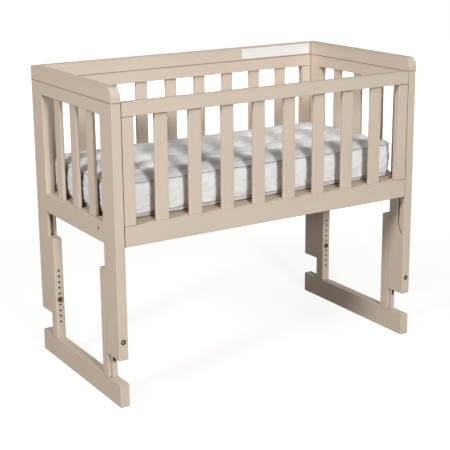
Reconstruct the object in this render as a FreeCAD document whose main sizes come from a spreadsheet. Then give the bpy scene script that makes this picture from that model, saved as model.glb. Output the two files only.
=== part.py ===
"""Bedside sleeper crib: two end frames, a fixed rear side, a front side that drops,
a mattress on a base board, and two foot frames that set the height of the crib.

Millimetres. X runs along the crib, -Y is the open bedside front, +Z is up.
The origin is on the floor under the middle of the crib.
"""
import FreeCAD
import Part
import math
import os
import re

import Sketcher

Vector = FreeCAD.Vector

# Driving dimensions: alias, size, what it is.
DIMENSIONS = [
    ("overall_length", 920, "length over the two end frames"),
    ("overall_depth", 466, "depth from front face to rear face"),
    ("frame_thickness", 25, "thickness of posts, end rails, caps and feet"),
    ("post_width", 63, "width of a post along the depth"),
    ("post_bottom", 123, "height of the posts' lower ends"),
    ("rim_height", 757, "height of the posts' tops and of the front side"),
    ("cap_height", 36, "height of the caps and of the rear upper board"),
    ("cap_round", 24, "radius of the caps' front corners"),
    ("edge_round", 1.5, "radius of the arrises"),
    ("seam_round", 0.8, "radius of the arrises at a seam"),
    ("rail_bottom", 408, "height of the lower rails' undersides"),
    ("lower_rail_height", 51, "height of the lower rails"),
    ("top_rail_height", 34, "height of the top rails"),
    ("panel_thickness", 20, "thickness of the front and rear sides"),
    ("panel_gap", 1.2, "running gap at each end of the front side"),
    ("drop_rail_depth", 35, "depth of the front side's lower rail"),
    ("stile_width", 31, "width of the stiles"),
    ("slat_width", 35, "width of a slat"),
    ("slat_thickness", 9, "thickness of a slat"),
    ("slat_count", 8, "slats in the front side and in the rear side"),
    ("end_slat_count", 3, "slats in an end frame"),
    ("tenon_length", 8, "how far a slat goes into its rail"),
    ("frame_dowel", 8, "diameter of the dowels in the frames"),
    ("panel_dowel", 6, "diameter of the dowels in the stiles"),
    ("dowel_depth", 15, "how far a dowel goes into each piece"),
    ("dowel_play", 0.1, "how much wider a hole is than its dowel or pin"),
    ("upright_width", 30, "width of an upright along the depth"),
    ("upright_top", 341, "height of the uprights' tops"),
    ("tongue_width", 10, "width of the tongue on an upright"),
    ("tongue_depth", 11, "how far the tongue goes into the post"),
    ("slide_gap", 0.3, "running gap between an upright and its post"),
    ("foot_height", 59, "height of a foot rail"),
    ("foot_tenon", 25, "how far an upright goes into its foot rail"),
    ("tenon_shoulder", 5, "step round an upright's tenon"),
    ("hole_pitch", 16, "distance between two height settings"),
    ("holes_above", 5, "settings above the one in use"),
    ("holes_below", 4, "settings below the one in use"),
    ("index_hole", 6.5, "diameter of a height hole"),
    ("bolt_height", 170, "height of the lock bolts"),
    ("bolt_thread", 6, "diameter of the bolts' shanks"),
    ("bolt_play", 0.4, "how much wider a bolt's hole is than the bolt"),
    ("head_diameter", 13.5, "diameter of the bolts' heads"),
    ("head_height", 2.5, "height of the bolts' heads"),
    ("socket_across", 5, "width of the hexagon socket"),
    ("socket_depth", 1.6, "depth of the hexagon socket"),
    ("web_thickness", 6, "wood left between bolt slot and inner face"),
    ("thread_gap", 0.5, "gap between a lock bolt and its index screw"),
    ("track_width", 10, "width of the guide tracks in the front posts"),
    ("track_depth", 5, "depth of the guide tracks"),
    ("track_setback", 25, "centre line of the lower track behind the front face"),
    ("track_turn", 322, "height where the lower track turns forward"),
    ("seat_setback", 14, "centre of the track's seat behind the front face"),
    ("seat_height", 304, "height of the track's seat"),
    ("stop_hole", 7, "diameter of the stop peg's hole"),
    ("stop_setback", 17, "stop peg's hole behind the front face"),
    ("stop_height", 386, "height of the stop peg's hole"),
    ("drop_travel", 95, "how far the front side drops"),
    ("pin_diameter", 8, "diameter of the guide pins"),
    ("pin_seat", 22, "how far a guide pin goes into the front side"),
    ("pin_rise", 12, "lower guide pin above the lower rail's underside"),
    ("pin_drop", 11.5, "upper guide pin below the top rail's upper face"),
    ("base_rail_thickness", 18, "thickness of base rail and rear batten"),
    ("base_rail_height", 28, "height of the front base rail"),
    ("base_rail_setback", 91, "centre of the base rail behind the front face"),
    ("batten_height", 20, "height of the rear batten"),
    ("base_bolt_length", 70, "length of the base rail's bolts"),
    ("barrel_diameter", 10, "diameter of the barrel nuts"),
    ("barrel_length", 14, "length of the barrel nuts"),
    ("barrel_depth", 40, "barrel nut's centre from the base rail's end"),
    ("batten_screw", 4, "diameter of the batten's screws"),
    ("batten_screw_length", 32, "length of the batten's screws"),
    ("batten_screw_head", 8, "diameter of the batten's screw heads"),
    ("board_thickness", 8, "thickness of the base board"),
    ("board_rise", 2, "base board's top above the lower rails"),
    ("board_gap", 2, "gap round the base board"),
    ("mattress_length", 866, "length of the mattress"),
    ("mattress_width", 398, "width of the mattress"),
    ("mattress_border", 89, "height of the mattress's sewn border"),
    ("mattress_crown", 9, "rise of the mattress's quilted top"),
    ("mattress_corner", 38, "corner radius of the mattress"),
    ("mattress_waist", 4, "how far the border is drawn in at its seams"),
    ("tuft_pitch", 95, "distance between sewn tufts in a row"),
    ("tuft_depth", 6, "depth of a sewn tuft"),
    ("tuft_radius", 45, "radius of the hollow round a tuft"),
    ("label_length", 240, "length of the blank label"),
    ("label_height", 30, "height of the blank label"),
    ("label_thickness", 0.4, "thickness of the blank label"),
    ("label_inset", 8, "blank label from the end frame"),
]

# Sizes worked out from the driving ones, used inside the formulas below.
DERIVED = {
    "inner_length": "(overall_length - 2 * frame_thickness)",
    "end_opening": "(overall_depth - 2 * post_width)",
    "post_length": "(rim_height - post_bottom)",
    "post_x": "(overall_length / 2 - frame_thickness / 2)",
    "post_y": "(overall_depth / 2 - post_width / 2)",
    "rail_top": "(rail_bottom + lower_rail_height)",
    "top_rail_bottom": "(rim_height - top_rail_height)",
    "slat_opening": "(top_rail_bottom - rail_top)",
    "slat_length": "(slat_opening + 2 * tenon_length)",
    "front_length": "(inner_length - 2 * panel_gap)",
    "frame_hole": "(frame_dowel + dowel_play)",
    "panel_hole": "(panel_dowel + dowel_play)",
    "pin_hole": "(pin_diameter + dowel_play)",
    "end_slat_pitch": "((end_opening - end_slat_count * slat_width)"
                      " / (end_slat_count + 1) + slat_width)",
    "upright_face": "(overall_depth / 2 - post_width - slide_gap)",
    "upright_length": "(upright_top - foot_height)",
    "low_hole": "(bolt_height - holes_below * hole_pitch - foot_height)",
    "high_hole": "(bolt_height + holes_above * hole_pitch - foot_height)",
    "bolt_hole": "(bolt_thread + bolt_play)",
    "head_recess": "(head_diameter + bolt_play)",
    "lock_shank": "(post_width + slide_gap + upright_width - web_thickness - thread_gap)",
    "pin_reach": "(panel_gap + track_depth - slide_gap)",
    "low_pin": "(rail_bottom + pin_rise)",
    "high_pin": "(rim_height - pin_drop)",
    "board_bottom": "(rail_top + board_rise - board_thickness)",
    "base_bolt_height": "(board_bottom - base_rail_height / 2)",
    "base_rail_y": "(base_rail_setback - overall_depth / 2)",
    "board_front": "(drop_rail_depth + 3 - overall_depth / 2)",
    "board_rear": "(overall_depth / 2 - panel_thickness - board_gap)",
    "mattress_bottom": "(board_bottom + board_thickness)",
    "tuft_columns": "(floor(mattress_length / tuft_pitch) - 1)",
    "tuft_rows": "(floor(mattress_width / tuft_pitch) - 1)",
    "tuft_ball": "((tuft_radius^2 + tuft_depth^2) / (2 * tuft_depth))",
}

doc = FreeCAD.newDocument("bedside_crib")
sizes = doc.addObject("Spreadsheet::Sheet", "Sizes")
for row, (alias, size, meaning) in enumerate(DIMENSIONS, start=1):
    sizes.set(f"A{row}", meaning)
    sizes.set(f"B{row}", str(size))
    sizes.setAlias(f"B{row}", alias)
doc.recompute()

ALIASES = re.compile(r"\b(" + "|".join(alias for alias, _, _ in DIMENSIONS) + r")\b")
DERIVED_NAMES = re.compile(r"\b(" + "|".join(DERIVED) + r")\b")
nodes = []


# ---------------------------------------------------------------- formulas
def formula(words):
    """A formula in the sheet's own words, as the document's expressions want it."""
    text = str(words)
    while DERIVED_NAMES.search(text):
        text = DERIVED_NAMES.sub(lambda found: DERIVED[found.group(1)], text)
    return ALIASES.sub(r"Sizes.\1", text)


def number(words):
    """What a formula comes to now, for first guesses and for counts."""
    return float(sizes.evalExpression(formula(words)))


def bind(item, **properties):
    for name, words in properties.items():
        item.setExpression(name, formula(words))


def place(item, x, y, z, turn=None):
    """Puts a finished piece in the crib, with its origin at x, y, z."""
    if turn is not None:
        item.Placement = FreeCAD.Placement(Vector(), turn)
    for axis, words in zip("xyz", (x, y, z)):
        item.setExpression(f"Placement.Base.{axis}", formula(words))


# ---------------------------------------------------------------- sketches
def origin_part(body, role):
    return next(f for f in body.Origin.OriginFeatures if f.Role == role)


def new_sketch(body, plane="XY_Plane", offset="0"):
    """A sketch on one of the body's own planes, moved along the plane's normal."""
    sketch = body.newObject("Sketcher::SketchObject", f"{body.Label}_sketch")
    sketch.AttachmentSupport = (origin_part(body, plane), [""])
    sketch.MapMode = "FlatFace"
    sketch.setExpression("AttachmentOffset.Base.z", formula(offset))
    return sketch


def fix_point(sketch, geometry, point, x, y):
    for kind, words in (("DistanceX", x), ("DistanceY", y)):
        made = sketch.addConstraint(
            Sketcher.Constraint(kind, -1, 1, geometry, point, number(words)))
        sketch.setExpression(f"Constraints[{made}]", formula(words))


def outline(sketch, corners):
    """A closed outline of straight lines, each corner held by its two formulas."""
    first = sketch.GeometryCount
    points = [Vector(number(x), number(y), 0) for x, y in corners]
    for start, end in zip(points, points[1:] + points[:1]):
        sketch.addGeometry(Part.LineSegment(start, end), False)
    for index, (x, y) in enumerate(corners):
        after = first + (index + 1) % len(corners)
        sketch.addConstraint(Sketcher.Constraint("Coincident", first + index, 2, after, 1))
        fix_point(sketch, first + index, 1, x, y)


def rectangle(sketch, low_x, low_y, high_x, high_y):
    outline(sketch, [(low_x, low_y), (high_x, low_y), (high_x, high_y), (low_x, high_y)])


def circles(sketch, centres, diameter):
    for x, y in centres:
        centre = Vector(number(x), number(y), 0)
        circle = Part.Circle(centre, Vector(0, 0, 1), number(diameter) / 2)
        made = sketch.addGeometry(circle, False)
        fix_point(sketch, made, 3, x, y)
        width = sketch.addConstraint(
            Sketcher.Constraint("Diameter", made, number(diameter)))
        sketch.setExpression(f"Constraints[{width}]", formula(diameter))


# ---------------------------------------------------------------- features
def new_body(label):
    body = doc.addObject("PartDesign::Body", label)
    body.Label = label
    nodes.append(body)
    return body


def pad(body, sketch, length, down=False):
    feature = body.newObject("PartDesign::Pad", f"{body.Label}_pad")
    feature.Profile = sketch
    feature.Reversed = down
    bind(feature, Length=length)
    doc.recompute()
    return feature


def check_cut(body, feature, before):
    doc.recompute()
    if body.Shape.Volume > before - 0.1:
        raise ValueError(f"{body.Label}: {feature.Label} cuts nothing")
    return feature


def pocket(body, sketch, depth, along_normal=False):
    """Cuts against the sketch's normal, or along it. Depth None goes right through."""
    before = body.Shape.Volume
    feature = body.newObject("PartDesign::Pocket", f"{body.Label}_pocket")
    feature.Profile = sketch
    if depth is None:
        feature.Type = "ThroughAll"
        feature.Midplane = True
    else:
        feature.Reversed = along_normal
        bind(feature, Length=depth)
    return check_cut(body, feature, before)


def drill(body, plane, offset, centres, diameter, depth, along_normal=False):
    sketch = new_sketch(body, plane, offset)
    circles(sketch, centres, diameter)
    return pocket(body, sketch, depth, along_normal)


def repeat(body, feature, axis, length, count):
    pattern = body.newObject("PartDesign::LinearPattern", f"{body.Label}_pattern")
    pattern.Originals = [feature]
    pattern.Direction = (origin_part(body, axis), [""])
    bind(pattern, Length=length, Occurrences=count)
    body.Tip = pattern
    doc.recompute()
    return pattern


def mortises(body, centre, size, step_axis, length, count):
    """A row of slat mortises: the first one's centre and size, then its copies."""
    before = body.Shape.Volume
    cut = body.newObject("PartDesign::SubtractiveBox", f"{body.Label}_mortise")
    cut.AttachmentSupport = (origin_part(body, "XY_Plane"), [""])
    cut.MapMode = "FlatFace"
    bind(cut, Length=size[0], Width=size[1], Height=size[2])
    for axis, words, width in zip("xy", centre, size):
        cut.setExpression(f"AttachmentOffset.Base.{axis}", formula(f"{words} - {width} / 2"))
    cut.setExpression("AttachmentOffset.Base.z", formula(centre[2]))
    check_cut(body, cut, before)
    repeat(body, cut, step_axis, length, count)


def round_edges(body, radius, wanted):
    """Rounds the edges that wanted() picks by their two end points."""
    names = []
    for index, edge in enumerate(body.Shape.Edges, start=1):
        ends = [vertex.Point for vertex in edge.Vertexes]
        if len(ends) == 2 and wanted(*ends):
            names.append(f"Edge{index}")
    if not names:
        raise ValueError(f"{body.Label}: no edge to round")
    base = body.Tip
    feature = body.newObject("PartDesign::Fillet", f"{body.Label}_round")
    feature.Base = (base, names)
    bind(feature, Radius=radius)
    doc.recompute()


def near(one, other):
    return abs(one - other) < 0.01


def along_x(a, b):
    return near(a.y, b.y) and near(a.z, b.z)


def along_y(a, b):
    return near(a.x, b.x) and near(a.z, b.z)


def along_z(a, b):
    return near(a.x, b.x) and near(a.y, b.y)


# ---------------------------------------------------------------- end frames
def quarter_heights(bottom, height):
    return [f"({bottom} + {height} * {share})" for share in (0.25, 0.75)]


END_RAIL_DOWELS = (quarter_heights("rail_bottom", "lower_rail_height")
                   + quarter_heights("top_rail_bottom", "top_rail_height"))
# The rear side's dowels pass under or over the ones that stand in its stiles.
LOWER_SIDE_DOWELS = ["(rail_bottom + lower_rail_height / 5)",
                     "(rail_bottom + lower_rail_height / 2)"]
TOP_SIDE_DOWEL = "(rim_height - top_rail_height * 0.3)"
BOARD_DOWEL = "(rim_height + cap_height / 2)"


def post(label, left, front):
    """A post. in_x and in_y point from the post towards the middle of the crib."""
    in_x = 1 if left else -1
    in_y = 1 if front else -1
    body = new_body(label)
    section = new_sketch(body)
    rectangle(section, "-frame_thickness / 2", "-post_width / 2",
              "frame_thickness / 2", "post_width / 2")
    pad(body, section, "post_length")
    outer = -in_y * number("post_width") / 2
    round_edges(body, "edge_round", lambda a, b: (
        (along_z(a, b) and near(a.y, outer)) or (near(a.z, 0) and near(b.z, 0))))

    groove = new_sketch(body)
    rectangle(groove, "-tongue_width / 2 - slide_gap",
              f"{in_y} * (post_width / 2 - tongue_depth - slide_gap)",
              "tongue_width / 2 + slide_gap", f"{in_y} * post_width / 2")
    pocket(body, groove, "rail_bottom - post_bottom", along_normal=True)

    rails = [("0", f"{height} - post_bottom") for height in END_RAIL_DOWELS]
    drill(body, "XZ_Plane", f"{-in_y} * post_width / 2", rails,
          "frame_hole", "dowel_depth", along_normal=front)
    drill(body, "XY_Plane", "post_length", [("0", "0")], "frame_hole", "dowel_depth")

    bolt = [("0", "bolt_height - post_bottom")]
    drill(body, "XZ_Plane", "0", bolt, "bolt_hole", None)
    drill(body, "XZ_Plane", f"{in_y} * post_width / 2", bolt,
          "head_recess", "head_height", along_normal=not front)
    if front:
        guide_tracks(body, in_x)
    else:
        panel_y = "(post_width / 2 - panel_thickness / 2)"
        side = [(panel_y, f"{height} - post_bottom")
                for height in LOWER_SIDE_DOWELS + [TOP_SIDE_DOWEL]]
        drill(body, "YZ_Plane", f"{in_x} * frame_thickness / 2", side,
              "frame_hole", "dowel_depth", along_normal=not left)
    place(body, f"{-in_x} * post_x", f"{-in_y} * post_y", "post_bottom")


def track_cut(body, in_x, ends):
    """A straight run of track with round ends, between two centres."""
    face = f"{in_x} * frame_thickness / 2"
    (y1, z1), (y2, z2) = ends
    run = Vector(number(y2) - number(y1), number(z2) - number(z1), 0)
    side = f"(track_width / 2) / sqrt(({y2} - {y1})^2 + ({z2} - {z1})^2)"
    over = (f"({z2} - {z1}) * {side}", f"({y1} - {y2}) * {side}")
    sketch = new_sketch(body, "YZ_Plane", face)
    corners = [(f"{y1} + {over[0]}", f"{z1} + {over[1]}"),
               (f"{y2} + {over[0]}", f"{z2} + {over[1]}"),
               (f"{y2} - ({over[0]})", f"{z2} - ({over[1]})"),
               (f"{y1} - ({over[0]})", f"{z1} - ({over[1]})")]
    if run.Length < number("track_width") / 10:
        raise ValueError(f"{body.Label}: the track has no length")
    outline(sketch, corners)
    pocket(body, sketch, "track_depth", along_normal=in_x < 0)


def guide_tracks(body, in_x):
    """The tracks for the front side's pins, routed in the post's inner face."""
    lower_y = "(track_setback - post_width / 2)"
    seat_y = "(seat_setback - post_width / 2)"
    upper_y = "(panel_thickness / 2 - post_width / 2)"
    start = (lower_y, "(low_pin - post_bottom)")
    turn = (lower_y, "(track_turn - post_bottom)")
    seat = (seat_y, "(seat_height - post_bottom)")
    top = (upper_y, "(high_pin - post_bottom)")
    dropped = (upper_y, "(high_pin - drop_travel - post_bottom)")
    track_cut(body, in_x, (start, turn))
    track_cut(body, in_x, (turn, seat))
    track_cut(body, in_x, (top, dropped))
    face = f"{in_x} * frame_thickness / 2"
    for ends in ([start], [turn], [seat], [top], [dropped]):
        drill(body, "YZ_Plane", face, ends, "track_width", "track_depth",
              along_normal=in_x < 0)
    drill(body, "YZ_Plane", face, [("stop_setback - post_width / 2",
                                    "stop_height - post_bottom")],
          "stop_hole", "2 * track_depth", along_normal=in_x < 0)


def cap(label, left):
    """The cap on an end frame, with its front corner rounded."""
    body = new_body(label)
    section = new_sketch(body)
    rectangle(section, "-frame_thickness / 2", "-overall_depth / 2",
              "frame_thickness / 2", "overall_depth / 2")
    pad(body, section, "cap_height")
    front = -number("overall_depth") / 2
    top = number("cap_height")
    round_edges(body, "cap_round", lambda a, b: (
        along_x(a, b) and near(a.y, front) and near(a.z, top)))
    half = number("frame_thickness") / 2
    round_edges(body, "seam_round", lambda a, b: (
        (near(abs(a.x), half) and near(a.x, b.x)) or (along_x(a, b) and near(a.y, -front))))
    drill(body, "XY_Plane", "0", [("0", "-post_y"), ("0", "0"), ("0", "post_y")],
          "frame_hole", "dowel_depth", along_normal=True)
    board = [("overall_depth / 2 - panel_thickness / 2", "cap_height / 2")]
    drill(body, "YZ_Plane", f"{1 if left else -1} * frame_thickness / 2", board,
          "frame_hole", "dowel_depth", along_normal=not left)
    place(body, "-post_x" if left else "post_x", "0", "rim_height")


def end_rail(label, left, bottom):
    """A rail between the two posts of an end frame, with mortises for its slats."""
    height = "lower_rail_height" if bottom else "top_rail_height"
    outward = -1 if left else 1
    body = new_body(label)
    section = new_sketch(body)
    rectangle(section, "-frame_thickness / 2", "-end_opening / 2",
              "frame_thickness / 2", "end_opening / 2")
    pad(body, section, height)
    rim = number(height)
    round_edges(body, "edge_round", lambda a, b: (
        along_y(a, b) and (bottom or not near(a.z, rim))))
    mortises(body, ("0", "-end_slat_pitch * (end_slat_count - 1) / 2",
                    f"{height} - tenon_length" if bottom else "0"),
             ("slat_thickness", "slat_width", "tenon_length"),
             "Y_Axis", "end_slat_pitch * (end_slat_count - 1)", "end_slat_count")
    centres = [("0", place_z) for place_z in quarter_heights("0", height)]
    drill(body, "XZ_Plane", "-end_opening / 2", centres, "frame_hole", "dowel_depth",
          along_normal=True)
    drill(body, "XZ_Plane", "end_opening / 2", centres, "frame_hole", "dowel_depth")
    if bottom:
        bolt = [("base_rail_y", "base_bolt_height - rail_bottom")]
        drill(body, "YZ_Plane", "0", bolt, "bolt_hole", None)
        drill(body, "YZ_Plane", f"{outward} * frame_thickness / 2", bolt,
              "head_recess", "head_height", along_normal=left)
    else:
        drill(body, "XY_Plane", height, [("0", "0")], "frame_hole", "dowel_depth")
    place(body, f"{outward} * post_x", "0", "rail_bottom" if bottom else "top_rail_bottom")


def slat_body(label, along_length):
    """One slat with its tenons, standing on its own origin."""
    size_x, size_y = "slat_width", "slat_thickness"
    if not along_length:
        size_x, size_y = size_y, size_x
    body = doc.addObject("PartDesign::Body", label)
    body.Label = label
    section = new_sketch(body)
    rectangle(section, f"-{size_x} / 2", f"-{size_y} / 2", f"{size_x} / 2", f"{size_y} / 2")
    pad(body, section, "slat_length")
    round_edges(body, "edge_round", along_z)
    return body


def compound(label, members):
    group = doc.addObject("Part::Compound", label)
    group.Label = label
    group.Links = members
    nodes.append(group)


def end_slats(label, left):
    members = []
    for index in range(int(number("end_slat_count"))):
        slat = slat_body(f"{label}_{index + 1}", along_length=False)
        step = f"end_slat_pitch * ({index} - (end_slat_count - 1) / 2)"
        place(slat, "-post_x" if left else "post_x", step, "rail_top - tenon_length")
        members.append(slat)
    compound(label, members)


# ---------------------------------------------------------------- front and rear sides
def slat_step(length):
    """Distance from slat to slat in a side of that length."""
    return (f"(({length} - 2 * stile_width - slat_count * slat_width)"
            " / (slat_count + 1) + slat_width)")


def stile_dowels(length):
    """Where the dowels of the two stiles stand along a side of that length."""
    centre = f"({length} / 2 - stile_width / 2)"
    return [f"({side} * {centre} + {shift} * stile_width / 4)"
            for side in (-1, 1) for shift in (-1, 1)]


def side_rail(label, length, depth, height, slats_on_top, radius):
    """A long rail: X centred, Y from its outer or inner face to its depth, Z up.
    The slats and stiles stand half a panel's thickness behind the Y = 0 face."""
    body = new_body(label)
    section = new_sketch(body)
    rectangle(section, f"-{length} / 2", "0", f"{length} / 2", depth)
    pad(body, section, height)
    round_edges(body, radius, along_x)
    step = slat_step(length)
    face = height if slats_on_top else "0"
    floor = f"{height} - tenon_length" if slats_on_top else "0"
    mortises(body, (f"-{step} * (slat_count - 1) / 2", "panel_thickness / 2", floor),
             ("slat_width", "slat_thickness", "tenon_length"),
             "X_Axis", f"{step} * (slat_count - 1)", "slat_count")
    centres = [(x, "panel_thickness / 2") for x in stile_dowels(length)]
    drill(body, "XY_Plane", face, centres, "panel_hole", "dowel_depth",
          along_normal=not slats_on_top)
    return body


def stile(label, length, side, face_y, radius):
    """An upright of a side, between its two rails."""
    body = new_body(label)
    section = new_sketch(body)
    rectangle(section, "-stile_width / 2", "0", "stile_width / 2", "panel_thickness")
    pad(body, section, "slat_opening")
    round_edges(body, radius, along_z)
    centres = [(f"{shift} * stile_width / 4", "panel_thickness / 2") for shift in (-1, 1)]
    drill(body, "XY_Plane", "0", centres, "panel_hole", "dowel_depth", along_normal=True)
    drill(body, "XY_Plane", "slat_opening", centres, "panel_hole", "dowel_depth")
    place(body, f"{side} * ({length} / 2 - stile_width / 2)", face_y, "rail_top")


def side_slats(prefix, length, middle_y):
    for index in range(int(number("slat_count"))):
        slat = slat_body(f"{prefix}_slat_{index + 1}", along_length=True)
        nodes.append(slat)
        place(slat, f"{slat_step(length)} * ({index} - (slat_count - 1) / 2)",
              middle_y, "rail_top - tenon_length")


def side_dowel_holes(body, heights):
    """Holes for the dowels that hold a rear piece between the two end frames."""
    centres = [("panel_thickness / 2", height) for height in heights]
    drill(body, "YZ_Plane", "inner_length / 2", centres, "frame_hole", "dowel_depth")
    drill(body, "YZ_Plane", "-inner_length / 2", centres, "frame_hole", "dowel_depth",
          along_normal=True)


def rear_side():
    """The fixed side: rails, stiles and slats, with the upper board between the caps."""
    face = "(overall_depth / 2 - panel_thickness)"
    top = side_rail("rear_top_rail", "inner_length", "panel_thickness",
                    "top_rail_height", False, "seam_round")
    bottom = side_rail("rear_bottom_rail", "inner_length", "panel_thickness",
                       "lower_rail_height", True, "seam_round")
    side_dowel_holes(top, [f"{TOP_SIDE_DOWEL} - top_rail_bottom"])
    side_dowel_holes(bottom, [f"{height} - rail_bottom" for height in LOWER_SIDE_DOWELS])
    drill(bottom, "XZ_Plane", "0", batten_screw_places("rail_bottom"),
          "batten_screw", "batten_screw_length - base_rail_thickness", along_normal=False)
    place(top, "0", face, "top_rail_bottom")
    place(bottom, "0", face, "rail_bottom")
    for side, name in ((-1, "left"), (1, "right")):
        stile(f"rear_stile_{name}", "inner_length", side, face, "seam_round")
    side_slats("rear", "inner_length", "overall_depth / 2 - panel_thickness / 2")

    board = new_body("rear_upper_board")
    section = new_sketch(board)
    rectangle(section, "-inner_length / 2", "0", "inner_length / 2", "panel_thickness")
    pad(board, section, "cap_height")
    round_edges(board, "seam_round", along_x)
    side_dowel_holes(board, ["cap_height / 2"])
    place(board, "0", face, "rim_height")


def front_side():
    """The side that drops: its lower rail is deeper, and carries the lower pins."""
    face = "(-overall_depth / 2)"
    top = side_rail("front_top_rail", "front_length", "panel_thickness",
                    "top_rail_height", False, "edge_round")
    bottom = side_rail("front_bottom_rail", "front_length", "drop_rail_depth",
                       "lower_rail_height", True, "edge_round")
    pins = ((top, ("panel_thickness / 2", "top_rail_height - pin_drop")),
            (bottom, ("track_setback", "pin_rise")))
    for rail, centre in pins:
        drill(rail, "YZ_Plane", "front_length / 2", [centre], "pin_hole", "pin_seat")
        drill(rail, "YZ_Plane", "-front_length / 2", [centre], "pin_hole", "pin_seat",
              along_normal=True)
    place(top, "0", face, "top_rail_bottom")
    place(bottom, "0", face, "rail_bottom")
    for side, name in ((-1, "left"), (1, "right")):
        stile(f"front_stile_{name}", "front_length", side, face, "edge_round")
    side_slats("front", "front_length", "panel_thickness / 2 - overall_depth / 2")


# ---------------------------------------------------------------- foot frames
def foot_rail(label, left):
    """A foot rail on the floor, with mortises for its two uprights."""
    body = new_body(label)
    section = new_sketch(body)
    rectangle(section, "-frame_thickness / 2", "-overall_depth / 2",
              "frame_thickness / 2", "overall_depth / 2")
    pad(body, section, "foot_height")
    round_edges(body, "edge_round", lambda a, b: True)
    holes = new_sketch(body, "XY_Plane", "foot_height")
    for in_y in (1, -1):
        near_y = f"{-in_y} * (upright_face - tenon_shoulder)"
        far_y = f"{-in_y} * (upright_face - upright_width + tenon_shoulder)"
        rectangle(holes, "tenon_shoulder - frame_thickness / 2", near_y,
                  "frame_thickness / 2 - tenon_shoulder", far_y)
    pocket(body, holes, "foot_tenon")
    place(body, "-post_x" if left else "post_x", "0", "0")


def upright(label, left, front):
    """An upright with its tongue, its row of height holes and the bolt's slot."""
    in_y = 1 if front else -1
    body = new_body(label)
    section = new_sketch(body)
    tongue = f"{-in_y} * tongue_depth"
    inner = f"{in_y} * upright_width"
    outline(section, [
        ("-frame_thickness / 2", "0"), ("-tongue_width / 2", "0"),
        ("-tongue_width / 2", tongue), ("tongue_width / 2", tongue),
        ("tongue_width / 2", "0"), ("frame_thickness / 2", "0"),
        ("frame_thickness / 2", inner), ("-frame_thickness / 2", inner)])
    pad(body, section, "upright_length")
    inner_y = number(inner)
    top = number("upright_length")
    round_edges(body, "edge_round", lambda a, b: (
        (along_z(a, b) and near(a.y, inner_y))
        or (near(a.z, top) and near(b.z, top) and (near(a.y, inner_y) or near(b.y, inner_y)))))
    tenon = new_sketch(body)
    rectangle(tenon, "tenon_shoulder - frame_thickness / 2", f"{in_y} * tenon_shoulder",
              "frame_thickness / 2 - tenon_shoulder",
              f"{in_y} * (upright_width - tenon_shoulder)")
    pad(body, tenon, "foot_tenon", down=True)

    slot = new_sketch(body, "XZ_Plane", f"{in_y} * tongue_depth")
    rectangle(slot, "-bolt_hole / 2", "low_hole", "bolt_hole / 2", "high_hole")
    slot_depth = "tongue_depth + upright_width - web_thickness"
    pocket(body, slot, slot_depth, along_normal=not front)
    drill(body, "XZ_Plane", f"{in_y} * tongue_depth", [("0", "low_hole")],
          "bolt_hole", slot_depth, along_normal=not front)
    drill(body, "XZ_Plane", f"{in_y} * tongue_depth", [("0", "high_hole")],
          "bolt_hole", slot_depth, along_normal=not front)
    hole = drill(body, "XZ_Plane", f"{-in_y} * upright_width", [("0", "low_hole")],
                 "index_hole", "web_thickness", along_normal=front)
    repeat(body, hole, "Z_Axis", "high_hole - low_hole", "holes_above + holes_below + 1")
    place(body, "-post_x" if left else "post_x", f"{-in_y} * upright_face", "foot_height")


# ---------------------------------------------------------------- fasteners
def cylinder(name, diameter, height, lift="0"):
    item = doc.addObject("Part::Cylinder", name)
    item.Label = name
    bind(item, Radius=f"{diameter} / 2", Height=height)
    item.setExpression("Placement.Base.z", formula(lift))
    return item


def socket_bolt(name, shank, length):
    """A bolt with a flat head and a hexagon socket: head at Z = 0, shank up from it."""
    head = cylinder(f"{name}_head", "head_diameter", "head_height")
    stem = cylinder(f"{name}_shank", shank, length, "head_height")
    solid = doc.addObject("Part::Fuse", f"{name}_blank")
    solid.Base = head
    solid.Tool = stem
    hexagon = doc.addObject("Part::Prism", f"{name}_socket")
    hexagon.Polygon = 6
    bind(hexagon, Circumradius="socket_across / sqrt(3)", Height="socket_depth")
    bolt = doc.addObject("Part::Cut", name)
    bolt.Label = name
    bolt.Base = solid
    bolt.Tool = hexagon
    return bolt


ALONG_X = FreeCAD.Rotation(Vector(0, 1, 0), 90)
AGAINST_X = FreeCAD.Rotation(Vector(0, 1, 0), -90)
ALONG_Y = FreeCAD.Rotation(Vector(1, 0, 0), -90)
AGAINST_Y = FreeCAD.Rotation(Vector(1, 0, 0), 90)


def lock_bolts():
    """The outer bolt of each post, in its recess, through post and upright."""
    for left, side in ((True, "left"), (False, "right")):
        for front, end in ((True, "front"), (False, "rear")):
            bolt = socket_bolt(f"lock_bolt_{end}_{side}", "bolt_thread",
                               "lock_shank - head_height")
            nodes.append(bolt)
            place(bolt, "-post_x" if left else "post_x",
                  "-overall_depth / 2" if front else "overall_depth / 2",
                  "bolt_height", ALONG_Y if front else AGAINST_Y)


def index_screws(label, left):
    """The inner screws, through the height holes in use."""
    members = []
    for front, end in ((True, "front"), (False, "rear")):
        screw = socket_bolt(f"{label}_{end}", "bolt_thread", "web_thickness")
        face = "(upright_face - upright_width - head_height)"
        place(screw, "-post_x" if left else "post_x",
              f"-{face}" if front else face, "bolt_height",
              AGAINST_Y if front else ALONG_Y)
        members.append(screw)
    compound(label, members)


def dowel(name, diameter, x, y, z, turn=None, length="2 * dowel_depth"):
    """A dowel centred on the seam at x, y, z, lying along Z or turned from it."""
    pin = cylinder(name, diameter, length)
    half = f"({length}) / 2"
    if turn is ALONG_X:
        place(pin, f"{x} - {half}", y, z, turn)
    elif turn is ALONG_Y:
        place(pin, x, f"{y} - {half}", z, turn)
    else:
        place(pin, x, y, f"{z} - {half}")
    return pin


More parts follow.
